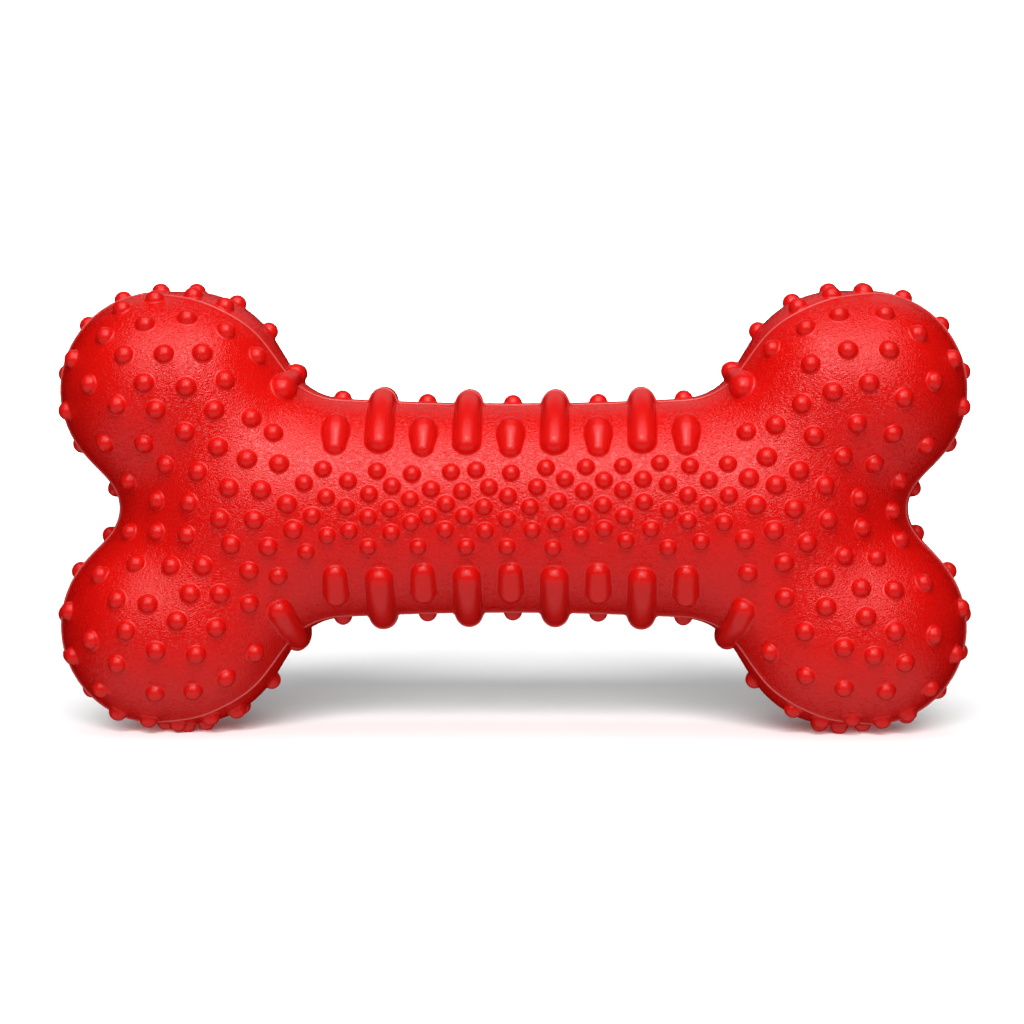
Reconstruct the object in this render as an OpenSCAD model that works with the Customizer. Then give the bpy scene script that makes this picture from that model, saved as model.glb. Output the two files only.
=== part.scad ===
// Nubbed rubber chew bone that stands on its lower knuckles: two hollow half mouldings bonded along
// a seam, with a squeaker in the back. Lengths are in millimetres. X runs along the bone, Z is up,
// and the front of the bone faces -Y. Shapes are made round the middle of the bone and then lifted
// by rest_height, so that the lowest nubs touch the floor.

/* [Bone] */
// Length of the bone over its nubs
bone_length = 160; // [100:1:240]
// Distance from the middle of the bone to the outer end of a knuckle's axis
knuckle_out = 61.8; // [40:0.1:90]
// Length of a knuckle's axis
knuckle_stretch = 5.1; // [0:0.1:12]
// Distance from the middle of the bone up or down to a knuckle's axis
knuckle_up = 20.6; // [14:0.1:32]
// Radius of a knuckle, seen from the front
knuckle_radius = 17.4; // [10:0.1:26]
// Half of a knuckle's depth from front to back
knuckle_depth = 19; // [10:0.1:28]
// Softness of the valley between two knuckles
knuckle_blend = 15.8; // [4:0.1:24]
// Distance from the middle of the bone to the end of the shaft's axis
shaft_half = 42.8; // [28:0.1:64]
// Radius of the shaft at its waist
shaft_radius = 18.4; // [10:0.1:28]
// How much thicker the shaft is at its last nubs
shaft_swell = 0.8; // [0:0.1:3]
// Softness of the neck between shaft and knuckle
neck_blend = 10.4; // [4:0.1:20]
// Thickness of the rubber
wall = 4.5; // [3:0.1:7]

/* [Nubs and ribs] */
// Radius of a neck pill at its inner end
neck_pill_radius = 2.15; // [1.2:0.05:3.5]
// Radius of a neck pill where it crosses the seam
neck_pill_tip = 1.85; // [1:0.05:3.5]
// Radius of a nub on the knuckles
nub_radius = 1.65; // [1:0.05:2.6]
// Radius of a nub in the band along the shaft
band_nub_radius = 1.45; // [1:0.05:2.4]
// How far a nub's centre lies under the skin
nub_sink = 0.15; // [0:0.05:0.6]
// Radius of the ribs across the shaft
rib_radius = 2.3; // [1.4:0.1:3.4]
// How far a rib stands out of the shaft
rib_proud = 2.45; // [1.4:0.05:3.4]
// Spacing of the ribs along the shaft
rib_pitch = 7.5; // [5:0.1:11]
// Angle from the top of the shaft to the middle of a long rib's end
rib_reach = 52; // [30:1:70]
// Angle from the top of the shaft to the upper end of a short pill
pill_start = 39; // [30:1:50]
// Angle from the top of the shaft to the lower end of a short pill
pill_end = 56; // [50:1:75]
// How much deeper the lower end of a short pill sits
pill_dive = 0.5; // [0:0.05:1.5]
// Radius of the lower end of a short pill
pill_tip = 1.8; // [1:0.05:2.4]
// Distance of a foot nub from the middle of its knuckle, along the bone
foot_along = 2.2; // [1.7:0.1:4]
// Distance of a foot nub from the middle of the bone, front to back
foot_aside = 2.4; // [0:0.1:4]

/* [Seam] */
// Thickness of the bonding layer between the halves
seam_thickness = 0.5; // [0.3:0.05:1]
// How far the bonding layer stands out of the skin
seam_proud = 0.35; // [0.05:0.05:0.8]
// How far in front of the middle the seam runs on the shaft
seam_front = 4; // [0:0.1:6]
// How much further forward it bows on the knuckles
seam_bow = 5.3; // [0:0.1:7]
// Distance from the middle of the bone to the deepest bow
seam_bow_at = 50; // [35:0.5:75]
// Half width of the bow
seam_bow_width = 11; // [6:0.5:18]
// Rubber between a nub and the seam
seam_room = 0.15; // [0.05:0.05:1]
// Play left where a rib is cut at the seam
rib_relief = 0.02; // [0.01:0.01:0.1]
// Step from a pill's bar to its round ends
pill_relief = 0.04; // [0.02:0.01:0.1]

/* [Squeaker] */
// Diameter of the squeaker's barrel
barrel_diameter = 11; // [8:0.1:16]
// Length of the barrel under its flange
barrel_length = 11; // [8:0.1:16]
// Wall of the barrel
barrel_wall = 1.1; // [0.8:0.1:2]
// Diameter of the flange that shows at the back
flange_diameter = 15; // [11:0.1:22]
// Thickness of the flange
flange_thickness = 1.4; // [0.8:0.1:2.5]
// Diameter of the vent hole
vent_diameter = 2.6; // [1:0.1:4]
// How far the round land of the port stands out of the shaft
land_proud = 0.4; // [0.1:0.1:2]
// Width of the land round the flange
land_width = 1.3; // [0.8:0.1:4]
// Depth of the port from the land to its inner end
port_depth = 10; // [6:0.1:14]
// Height of the snap bead at the inner end of the port
bead_height = 0.6; // [0.3:0.05:1.2]
// Width of the snap bead
bead_width = 1.2; // [0.8:0.1:2]
// Gap between the plastic and the port
port_gap = 0.1; // [0.05:0.01:0.3]
// Thickness of the disc of the reed seat, and of the cap
disc_thickness = 1.6; // [1:0.1:2.5]
// Gap between the discs and the barrel
disc_gap = 0.05; // [0.02:0.01:0.2]
// Width of the trough under the reed
trough_width = 2.6; // [1.5:0.1:4]
// Wall of the seat round the trough
trough_wall = 1.3; // [0.8:0.1:2]
// Length of the reed beyond the disc
reed_length = 5; // [3:0.1:7]
// Width of the reed
reed_width = 3.6; // [2:0.1:5]
// Thickness of the reed
reed_thickness = 0.3; // [0.15:0.05:0.6]
// Length of the reed's root inside the disc
reed_root = 1.2; // [0.5:0.1:2]
// Gap all round the reed
reed_gap = 0.15; // [0.05:0.05:0.4]
// Diameter of the holes in the cap
cap_hole = 1.4; // [0.8:0.1:2.5]

/* [Front view] */
// Distance of the eye that the nub places were read from
view_distance = 560; // [300:10:1200]
// Turn of that eye towards the right end
view_turn = 1.5; // [-10:0.5:10]
// Rise of that eye over the middle of the bone
view_rise = 1.5; // [-10:0.5:20]
// Length of the bone in pixels
bone_pixels = 912; // [400:1:2000]

/* [Hidden] */
$fn = 64;
knuckle_middle = knuckle_out - knuckle_stretch / 2;
squash_share = knuckle_radius / knuckle_depth;
swell_at = 4 * rib_pitch;
seam_half = seam_thickness / 2;
overrun = bone_length;
feel = nub_sink / 10;

// Rings of the skin: the shaft's are upright, and each end's fan out from upright to lying
shaft_rings = 15;
fan_rings = 18;
fan_start = 2 * shaft_radius - nub_radius;
fan_travel = shaft_radius - nub_radius;
outer_columns = 17;
inner_columns = 11;
crowd_share = 0.4;
rib_sides = 24;
pill_sides = 12;
ring_total = shaft_rings + 2 * fan_rings;

// Where the rows of rim nubs run: behind the seam over the knuckles, and deeper at their ends
rim_row = foot_aside / 2;
end_row = foot_aside;

// The squeaker lies along Y: these are distances behind the middle of the bone
land_y = shaft_radius + land_proud;
flange_y = land_y - flange_thickness;
port_y = land_y - port_depth;
barrel_y = flange_y - barrel_length;
seat_y = flange_y - disc_thickness;
barrel_radius = barrel_diameter / 2;
bore_radius = barrel_radius - barrel_wall;
disc_radius = bore_radius - disc_gap;
land_radius = flange_diameter / 2 + port_gap + land_width;
seat_length = reed_length + trough_wall;
cap_holes = 6;

// Places in the front view, in its own pixels
middle_pixel = [512.8, 507.9];
upper_left_nub_pixels = [
    [155, 299], [193, 296], [122, 309], [225, 306], [187, 318], [145, 324], [226, 331], [105, 336],
    [73, 359], [124, 355], [164, 354], [202, 353], [257, 356], [144, 383], [225, 380], [89, 384],
    [186, 387], [117, 405], [156, 410], [214, 410], [251, 418], [105, 443], [185, 432], [273, 433],
    [144, 444], [218, 447], [166, 465], [247, 459], [279, 464], [198, 472], [129, 481], [229, 488],
    [261, 490], [157, 500], [189, 503], [287, 504], [67, 411]
];
lower_left_nub_pixels = [
    [220, 519], [254, 520], [130, 532], [157, 532], [187, 535], [293, 530], [231, 545], [268, 547],
    [100, 575], [136, 564], [171, 566], [203, 566], [249, 571], [278, 576], [190, 594], [220, 594],
    [69, 611], [117, 600], [148, 604], [249, 604], [177, 621], [126, 631], [216, 628], [91, 640],
    [73, 656], [156, 651], [196, 655], [255, 653], [117, 664], [226, 678], [101, 689], [155, 693],
    [193, 691], [118, 713], [210, 716], [237, 710], [149, 720], [178, 723]
];
upper_right_nub_pixels = [
    [832, 296], [865, 294], [798, 307], [839, 315], [885, 314], [806, 328], [918, 334], [772, 349],
    [848, 350], [889, 350], [953, 359], [811, 364], [869, 383], [934, 381], [833, 392], [802, 404],
    [904, 398], [776, 425], [857, 424], [747, 432], [814, 436], [893, 434], [926, 445], [767, 457],
    [843, 457], [874, 464], [749, 478], [799, 471], [776, 485], [825, 486], [899, 481], [859, 498],
    [756, 505], [962, 407]
];
lower_right_nub_pixels = [
    [794, 509], [892, 511], [828, 520], [774, 531], [862, 528], [745, 540], [807, 543], [900, 540],
    [784, 563], [844, 556], [876, 558], [748, 573], [824, 578], [924, 583], [785, 598], [861, 588],
    [894, 590], [826, 607], [961, 608], [866, 617], [805, 632], [895, 632], [934, 635], [770, 652],
    [844, 648], [874, 656], [955, 654], [905, 663], [806, 676], [844, 688], [886, 691], [930, 688],
    [793, 709], [822, 718], [852, 719], [908, 713], [882, 720]
];
band_nub_pixels = [
    [304, 483], [306, 552], [312, 516], [323, 469], [326, 497], [327, 536], [346, 507], [348, 481],
    [349, 531], [368, 517], [368, 547], [369, 494], [377, 471], [390, 509], [391, 533], [392, 486],
    [410, 499], [411, 523], [412, 474], [418, 547], [428, 516], [431, 489], [445, 530], [446, 504],
    [451, 472], [462, 491], [464, 516], [466, 547], [476, 470], [484, 507], [485, 531], [489, 487],
    [507, 519], [507, 547], [508, 496], [511, 473], [530, 507], [532, 530], [537, 487], [546, 468],
    [553, 548], [556, 524], [558, 501], [565, 479], [581, 536], [582, 514], [584, 491], [586, 467],
    [603, 505], [604, 480], [604, 529], [623, 466], [623, 490], [624, 516], [626, 541], [643, 479],
    [644, 502], [651, 529], [660, 463], [668, 484], [668, 548], [669, 510], [688, 495], [688, 521],
    [690, 466], [701, 542], [708, 505], [709, 480], [724, 523], [728, 464], [729, 495]
];
// Nubs on the outline, just behind the seam, and the ones at the ends, which sit further back
rim_nub_pixels = [
    [88, 325], [123, 299], [161, 289], [197, 291], [238, 303], [271, 330], [111, 491], [110, 534],
    [81, 571], [755, 329], [791, 301], [828, 288], [862, 285], [904, 296], [942, 324], [916, 490],
    [917, 532], [949, 570], [207, 726], [908, 718], [819, 727]
];
end_nub_pixels = [
    [63, 373], [76, 448], [61, 613], [64, 657], [88, 692], [272, 680], [965, 371],
    [951, 445], [968, 613], [964, 653], [939, 691], [755, 679]
];
// Pills across the necks: places on the front, and last the place behind the seam
neck_pill_pixels = [
    [[282, 389], [292, 378]], [[744, 387], [736, 375]],
    [[279, 610], [288, 625], [295, 637]], [[744, 609], [738, 622], [733, 633]]
];

rubber_red = [0.86, 0.06, 0.06];
bond_red = [0.72, 0.04, 0.05];
housing_white = [0.92, 0.92, 0.9];
reed_steel = [0.75, 0.76, 0.78];

// Smaller of two distances, rounded off where they are alike
function soft_min(a, b, blend) =
    let (near = max(blend - abs(a - b), 0))
    min(a, b) - near * near / (4 * blend);

// Distance from a knuckle's surface: level is 1 for an upper knuckle and -1 for a lower one
function knuckle_gap(p, level) =
    let (along = max(min(abs(p.x), knuckle_out), knuckle_out - knuckle_stretch))
    norm([abs(p.x) - along, p.y * squash_share, p.z - level * knuckle_up]) - knuckle_radius;

// Distance from the shaft's surface, which swells towards its ends
function shaft_size(x) = shaft_radius + shaft_swell * pow(x / swell_at, 2);
function shaft_gap(p) =
    let (along = min(abs(p.x), shaft_half))
    norm([abs(p.x) - along, p.y, p.z]) - shaft_size(along);

// Distance from the bone's skin, negative inside
function skin_gap(p) = soft_min(
    soft_min(knuckle_gap(p, 1), knuckle_gap(p, -1), knuckle_blend), shaft_gap(p), neck_blend);

// Unit vector out of the skin
function skin_normal(p) =
    let (rise = [for (way = [[feel, 0, 0], [0, feel, 0], [0, 0, feel]])
        skin_gap(p + way) - skin_gap(p - way)])
    rise / norm(rise);

// Place of the seam from front to back
function seam_y(x) =
    -seam_front - seam_bow * exp(-pow((abs(x) - seam_bow_at) / seam_bow_width, 2));

// How far ring i is round its fan, from 0 on the shaft to 1 at the tip, and on which end
function fan_share(i) = max(fan_rings - i, i - fan_rings - shaft_rings, 0) / fan_rings;
function fan_side(i) = i < fan_rings ? -1 : 1;
function ring_x(i) =
    fan_share(i) > 0
        ? fan_side(i) * (fan_start + fan_travel * sin(90 * fan_share(i)))
        : fan_start * (2 * (i - fan_rings) / shaft_rings - 1);
function ring_lean(i) = 90 * cos(90 * fan_share(i));

// Angle of column j of a ring, 0 at the top and 180 at the bottom, crowded towards both
function column_turn(i, j, columns) =
    let (even = 180 * j / columns)
    even - crowd_share * fan_share(i) * sin(2 * even) * 90 / PI;

// Point at a reach along ring i's ray, on the front side (-1) or the back (1) of the seam
function ray_point(i, turn, side, reach) =
    let (
        x = ring_x(i) + fan_side(i) * reach * cos(ring_lean(i)),
        lift = reach * sin(ring_lean(i)),
        start = (seam_y(x) + side * seam_half) * (1 - sin(ring_lean(i)) * pow(sin(turn), 2))
    )
    [x, start + side * lift * sin(turn), lift * cos(turn)];

// Reach of a ray to the surface at a depth under the skin
function ray_reach(i, turn, side, depth, reach, steps) =
    steps == 0
        ? reach
        : ray_reach(i, turn, side, depth,
            reach - skin_gap(ray_point(i, turn, side, reach)) - depth, steps - 1);
function skin_reach(i, turn, side, depth) =
    ray_reach(i, turn, side, depth, shaft_radius, 30);
function skin_point(i, turn, side, depth) =
    ray_point(i, turn, side, skin_reach(i, turn, side, depth));

// Points of one surface of a half: its rings, then its left tip and its right tip
function half_points(side, depth, columns) = concat(
    [for (i = [1 : ring_total - 1], j = [0 : columns])
        skin_point(i, column_turn(i, j, columns), side, depth)],
    [skin_point(0, 0, side, depth), skin_point(ring_total, 0, side, depth)]);
function half_size(columns) = (ring_total - 1) * (columns + 1) + 2;
function half_index(i, j, columns) =
    i == 0 ? half_size(columns) - 2
    : i == ring_total ? half_size(columns) - 1
    : (i - 1) * (columns + 1) + j;

// Triangles of one surface of a half, as seen from the front side
function half_faces(columns, first) = [
    for (i = [0 : ring_total - 1], j = [0 : columns - 1])
        let (
            a = first + half_index(i, j, columns),
            b = first + half_index(i + 1, j, columns),
            c = first + half_index(i + 1, j + 1, columns),
            d = first + half_index(i, j + 1, columns)
        )
        each concat(b == c ? [] : [[a, b, c]], a == d ? [] : [[a, c, d]])
];

// Triangles of the rim at the top (j = 0) and at the bottom, from the outer surface to the inner
function rim_faces(first) = [
    for (i = [0 : ring_total - 1])
        let (
            a = half_index(i, 0, outer_columns),
            b = half_index(i + 1, 0, outer_columns),
            c = first + half_index(i + 1, 0, inner_columns),
            d = first + half_index(i, 0, inner_columns),
            e = half_index(i, outer_columns, outer_columns),
            f = half_index(i + 1, outer_columns, outer_columns),
            g = first + half_index(i + 1, inner_columns, inner_columns),
            h = first + half_index(i, inner_columns, inner_columns)
        )
        each [[a, d, c], [a, c, b], [h, e, f], [h, f, g]]
];
function turned_over(faces) = [for (face = faces) [face[2], face[1], face[0]]];

// One half of the hollow bone: side is -1 for the front and 1 for the back
module half_skin(side) {
    inner_first = half_size(outer_columns);
    faces = concat(
        half_faces(outer_columns, 0),
        turned_over(half_faces(inner_columns, inner_first)),
        rim_faces(inner_first));
    polyhedron(
        points = concat(half_points(side, 0, outer_columns), half_points(side, wall, inner_columns)),
        faces = side < 0 ? faces : turned_over(faces),
        convexity = 6);
}

// Sight lines of the front view
eye = view_distance
    * [sin(view_turn) * cos(view_rise), -cos(view_turn) * cos(view_rise), sin(view_rise)];
sight_ahead = -eye / view_distance;
sight_across = [cos(view_turn), sin(view_turn), 0];
sight_up = cross(sight_across, sight_ahead);
function sight(pixel) =
    let (aim = sight_ahead * view_distance * bone_pixels / bone_length
        + sight_across * (pixel.x - middle_pixel.x) + sight_up * (middle_pixel.y - pixel.y))
    aim / norm(aim);

// Point where a sight line meets the skin, marched from p
function met(p, way, steps) =
    steps == 0 ? p : met(p + way * skin_gap(p), way, steps - 1);

// Point moved onto the skin, in any direction or along and up only
function settled(p, steps) =
    steps == 0 ? p : settled(p - skin_gap(p) * skin_normal(p), steps - 1);
function settled_flat(p, steps) =
    steps == 0 ? p
    : let (flat = skin_normal(p) - [0, skin_normal(p).y, 0])
        settled_flat(p - skin_gap(p) * flat / (flat * flat), steps - 1);

// Place on the front of the skin that shows at a pixel
function front_place(pixel) =
    let (way = sight(pixel))
    settled(met(eye + way * (view_distance - 2 * knuckle_depth), way, 50), 2);

// Place on the outline near a pixel, in the row at y
function rim_place(pixel, y) =
    let (way = sight(pixel))
    settled(eye + way * (y - eye.y) / way.y, 5);

// Place moved clear of the seam, to the side that it is on
function clear_place(p, radius) =
    let (
        side = p.y < seam_y(p.x) ? -1 : 1,
        room = seam_half + radius + seam_room,
        y = seam_y(p.x) + side * room
    )
    side * (p.y - y) > 0 ? p : settled_flat([p.x, y, p.z], 3);

// Places of the nubs, each with its radius
knuckle_pixels = concat(upper_left_nub_pixels, lower_left_nub_pixels,
    upper_right_nub_pixels, lower_right_nub_pixels);
knuckle_places = [for (pixel = knuckle_pixels) front_place(pixel)];
band_places = [for (pixel = band_nub_pixels) front_place(pixel)];
function behind(p) = [p.x, -p.y, p.z];
function off_port(p) = norm([p.x, p.z]) > land_radius + 2 * nub_radius;
foot_places = [
    for (end = [-1, 1], step = [-1, 1])
        settled_flat([end * (knuckle_middle + step * foot_along), step * foot_aside,
            -knuckle_up - knuckle_radius], 5)
];
station_places = [
    for (k = [-2 : 2], level = [-1, 1])
        settled_flat([2 * k * rib_pitch, rim_row, level * shaft_radius], 3)
];
big_places = concat(
    knuckle_places,
    [for (p = knuckle_places) behind(p)],
    [for (pixel = rim_nub_pixels) rim_place(pixel, rim_row)],
    [for (pixel = end_nub_pixels) rim_place(pixel, end_row)],
    foot_places,
    station_places);
small_places = concat(band_places, [for (p = band_places) if (off_port(behind(p))) behind(p)]);

// Lowest point of the foot nubs, which is where the floor is
rest_height = nub_radius - min([
    for (p = foot_places) let (q = clear_place(p, nub_radius)) (q - nub_sink * skin_normal(q)).z]);

// Nubs on one side of the seam
module nubs(places, radius, side) {
    for (p = places) {
        place = clear_place(p, radius);
        if (side * (place.y - seam_y(place.x)) > 0) {
            translate(place - nub_sink * skin_normal(place)) sphere(radius);
        }
    }
}

// Round bar with round ends, which may differ in radius
module pill(from, to, from_radius = rib_radius, to_radius = rib_radius) {
    way = to - from;
    lean = (from_radius - to_radius) / norm(way);
    level = sqrt(1 - lean * lean);
    rise = norm(way) - lean * (from_radius - to_radius);
    translate(from) sphere(from_radius);
    translate(to) sphere(to_radius);
    translate(from) rotate([0, acos(way.z / norm(way)), atan2(way.y, way.x)])
        translate([0, 0, lean * from_radius])
            cylinder(
                h = rise, r1 = level * from_radius - pill_relief, r2 = level * to_radius - pill_relief,
                $fn = pill_sides
            );
}

// Short pills between the long ribs, above and below the band, narrower towards the band
module short_pills(side) {
    for (k = [-2 : 2], level = [-1, 1]) {
        x = 2 * k * rib_pitch;
        size = shaft_size(x) + rib_proud - rib_radius;
        near = size - pill_dive;
        pill(
            [x, side * size * sin(pill_start), level * size * cos(pill_start)],
            [x, side * near * sin(pill_end), level * near * cos(pill_end)],
            rib_radius, pill_tip);
    }
}

// Unit vector at a share of a full turn
function round_way(turn_share) = [cos(360 * turn_share), sin(360 * turn_share)];

// Long ribs over the top and the bottom of the shaft, which cross the seam
module long_ribs() {
    for (k = [-2 : 1], level = [-1, 1]) {
        x = (2 * k + 1) * rib_pitch;
        size = shaft_size(x) + rib_proud - rib_radius;
        translate([x, 0, 0]) rotate([90, 0, 90]) rotate([0, 0, level * 90 - rib_reach])
            rotate_extrude(angle = 2 * rib_reach) translate([size, 0])
                polygon([for (n = [1 : rib_sides]) rib_radius * round_way((n - 0.5) / rib_sides)]);
        for (side = [-1, 1]) {
            translate([x, side * size * sin(rib_reach), level * size * cos(rib_reach)])
                sphere(rib_radius);
        }
    }
}

// Slanted pills over the four necks, which cross the seam too
module neck_pills() {
    for (route = neck_pill_pixels) {
        last = len(route) - 1;
        places = [for (n = [0 : last]) n < last ? front_place(route[n]) : rim_place(route[n], rim_row)];
        radii = [for (n = [0 : last]) neck_pill_radius + (neck_pill_tip - neck_pill_radius) * n / last];
        for (n = [1 : last]) {
            pill(places[n - 1], places[n], radii[n - 1], radii[n]);
            pill(behind(places[n - 1]), behind(places[n]), radii[n - 1], radii[n]);
        }
    }
}

// Block between two distances from the seam, the full height of the bone
module seam_block(near, far) {
    stations = [for (n = [-80 : 80]) n * bone_length / 160];
    translate([0, 0, -overrun / 2]) linear_extrude(overrun) polygon(concat(
        [for (x = stations) [x, seam_y(x) + near]],
        [for (n = [len(stations) - 1 : -1 : 0]) [stations[n], seam_y(stations[n]) + far]]));
}

// What crosses the seam, cut to one side of it
module cut_ribs(near, far) {
    intersection() {
        union() {
            long_ribs();
            neck_pills();
        }
        seam_block(near, far);
    }
}

// Front half with its nubs, pills and its share of the ribs
module front_shell() {
    color(rubber_red) translate([0, 0, rest_height]) {
        half_skin(-1);
        nubs(big_places, nub_radius, -1);
        nubs(small_places, band_nub_radius, -1);
        short_pills(-1);
        cut_ribs(-overrun, -seam_half - rib_relief);
    }
}

// Cylinder along Y between two distances behind the middle of the bone
module y_cylinder(from, to, radius) {
    translate([0, to, 0]) rotate([90, 0, 0]) cylinder(h = to - from, r = radius);
}

// Back half, with the port that the squeaker snaps into
module back_shell() {
    color(rubber_red) translate([0, 0, rest_height]) difference() {
        union() {
            half_skin(1);
            nubs(big_places, nub_radius, 1);
            nubs(small_places, band_nub_radius, 1);
            short_pills(1);
            cut_ribs(seam_half + rib_relief, overrun);
            y_cylinder(port_y, land_y, land_radius);
        }
        y_cylinder(port_y - overrun, land_y + overrun, barrel_radius + port_gap);
        y_cylinder(flange_y, land_y + overrun, flange_diameter / 2 + port_gap);
    }
}

// Points of the bonding layer at one station: inner, skin and proud, in front and behind
function seam_station(i, turn) = [
    for (side = [-1, 1])
        let (inner = skin_reach(i, turn, side, wall), outer = skin_reach(i, turn, side, 0))
        each [for (reach = [inner, outer, outer + seam_proud]) ray_point(i, turn, side, reach)]
];

// Bonding layer between the halves, with its slices of the ribs
module seam_bond() {
    stations = concat(
        [for (i = [0 : ring_total]) seam_station(i, 0)],
        [for (i = [ring_total - 1 : -1 : 1]) seam_station(i, 180)]);
    total = len(stations);
    faces = [
        for (k = [0 : total - 1])
            let (a = 6 * k, b = 6 * ((k + 1) % total))
            each [
                [a, a + 1, b], [a + 1, b + 1, b], [a + 1, a + 2, b + 2], [a + 1, b + 2, b + 1],
                [a + 2, a + 5, b + 5], [a + 2, b + 5, b + 2],
                [a + 3, b + 3, a + 4], [a + 4, b + 3, b + 4], [a + 4, b + 5, a + 5], [a + 4, b + 4, b + 5],
                [a, b, b + 3], [a, b + 3, a + 3]
            ]
    ];
    color(bond_red) translate([0, 0, rest_height]) {
        polyhedron(points = [for (station = stations) each station], faces = faces, convexity = 6);
        difference() {
            cut_ribs(-seam_half + rib_relief, seam_half - rib_relief);
            seam_core();
        }
    }
}

// Room inside the skin that the slices of the ribs keep out of
module seam_core() {
    for (end = [-1, 1], level = [-1, 1]) {
        translate([end * knuckle_middle, 0, level * knuckle_up]) sphere(knuckle_radius - wall);
    }
    rotate([0, 90, 0]) cylinder(h = 2 * shaft_half, r = shaft_radius - wall, center = true);
}

// Squeaker's cup: flange with a vent, barrel and snap bead
module squeaker_housing() {
    color(housing_white) translate([0, 0, rest_height]) difference() {
        union() {
            y_cylinder(flange_y, land_y, flange_diameter / 2);
            y_cylinder(barrel_y, flange_y, barrel_radius);
            y_cylinder(port_y - port_gap - bead_width, port_y - port_gap, barrel_radius + bead_height);
        }
        y_cylinder(barrel_y - overrun, flange_y, bore_radius);
        y_cylinder(flange_y - overrun, land_y + overrun, vent_diameter / 2);
    }
}

// Cap with holes that closes the inner end of the cup
module squeaker_cap() {
    color(housing_white) translate([0, 0, rest_height]) difference() {
        y_cylinder(barrel_y, barrel_y + disc_thickness, disc_radius);
        for (n = [1 : cap_holes]) {
            rotate([0, 360 * n / cap_holes, 0]) translate([disc_radius / 2 + cap_hole / 4, 0, 0])
                y_cylinder(barrel_y - overrun, barrel_y + overrun, cap_hole / 2);
        }
    }
}

// Disc and trough that the reed lies on
module reed_seat() {
    seat_radius = trough_width / 2 + trough_wall;
    color(housing_white) translate([0, 0, rest_height]) difference() {
        union() {
            y_cylinder(seat_y, flange_y, disc_radius);
            intersection() {
                y_cylinder(seat_y - seat_length, seat_y, seat_radius);
                translate([-overrun / 2, -overrun, -overrun]) cube([overrun, 2 * overrun, overrun]);
            }
        }
        intersection() {
            y_cylinder(seat_y - reed_length, flange_y + overrun, trough_width / 2);
            translate([-overrun / 2, -overrun, -overrun]) cube([overrun, 2 * overrun, overrun]);
        }
        translate([-reed_width / 2 - reed_gap, seat_y - reed_gap, 0])
            cube([reed_width + 2 * reed_gap, reed_root + 2 * reed_gap, reed_thickness + 2 * reed_gap]);
    }
}

// Thin tongue over the trough, rooted in the disc
module reed() {
    color(reed_steel) translate([-reed_width / 2, seat_y - reed_length, rest_height + reed_gap])
        cube([reed_width, reed_length + reed_root, reed_thickness]);
}

front_shell();
back_shell();
seam_bond();
squeaker_housing();
squeaker_cap();
reed_seat();
reed();
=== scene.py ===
"""Looks of the nubbed rubber chew bone, of its seam and its squeaker, and the studio round it."""

import logging
import math
from dataclasses import dataclass, field
from enum import Enum
from typing import Any

import bmesh
import bpy
import numpy as np
from mathutils import Matrix


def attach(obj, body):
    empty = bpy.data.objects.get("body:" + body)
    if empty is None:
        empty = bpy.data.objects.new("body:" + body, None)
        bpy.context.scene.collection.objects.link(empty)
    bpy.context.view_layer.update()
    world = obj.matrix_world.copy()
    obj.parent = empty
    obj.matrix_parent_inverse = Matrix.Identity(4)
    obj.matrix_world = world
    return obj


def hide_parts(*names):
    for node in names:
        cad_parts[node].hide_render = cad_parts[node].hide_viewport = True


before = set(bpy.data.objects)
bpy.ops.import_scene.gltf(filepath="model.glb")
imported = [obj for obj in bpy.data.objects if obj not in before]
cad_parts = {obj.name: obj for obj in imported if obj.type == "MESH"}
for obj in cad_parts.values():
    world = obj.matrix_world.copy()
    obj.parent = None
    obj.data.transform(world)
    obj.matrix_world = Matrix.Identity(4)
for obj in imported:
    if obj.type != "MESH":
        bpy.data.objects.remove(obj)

log = logging.getLogger("chew_bone")

MM = 0.001
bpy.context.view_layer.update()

# Places in the front view, in its own pixels
UPPER_LEFT_NUB_PIXELS = (
    (155, 299), (193, 296), (122, 309), (225, 306), (187, 318), (145, 324), (226, 331), (105, 336),
    (73, 359), (124, 355), (164, 354), (202, 353), (257, 356), (144, 383), (225, 380), (89, 384),
    (186, 387), (117, 405), (156, 410), (214, 410), (251, 418), (105, 443), (185, 432), (273, 433),
    (144, 444), (218, 447), (166, 465), (247, 459), (279, 464), (198, 472), (129, 481), (229, 488),
    (261, 490), (157, 500), (189, 503), (287, 504), (67, 411),
)
LOWER_LEFT_NUB_PIXELS = (
    (220, 519), (254, 520), (130, 532), (157, 532), (187, 535), (293, 530), (231, 545), (268, 547),
    (100, 575), (136, 564), (171, 566), (203, 566), (249, 571), (278, 576), (190, 594), (220, 594),
    (69, 611), (117, 600), (148, 604), (249, 604), (177, 621), (126, 631), (216, 628), (91, 640),
    (73, 656), (156, 651), (196, 655), (255, 653), (117, 664), (226, 678), (101, 689), (155, 693),
    (193, 691), (118, 713), (210, 716), (237, 710), (149, 720), (178, 723),
)
UPPER_RIGHT_NUB_PIXELS = (
    (832, 296), (865, 294), (798, 307), (839, 315), (885, 314), (806, 328), (918, 334), (772, 349),
    (848, 350), (889, 350), (953, 359), (811, 364), (869, 383), (934, 381), (833, 392), (802, 404),
    (904, 398), (776, 425), (857, 424), (747, 432), (814, 436), (893, 434), (926, 445), (767, 457),
    (843, 457), (874, 464), (749, 478), (799, 471), (776, 485), (825, 486), (899, 481), (859, 498),
    (756, 505), (962, 407),
)
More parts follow.
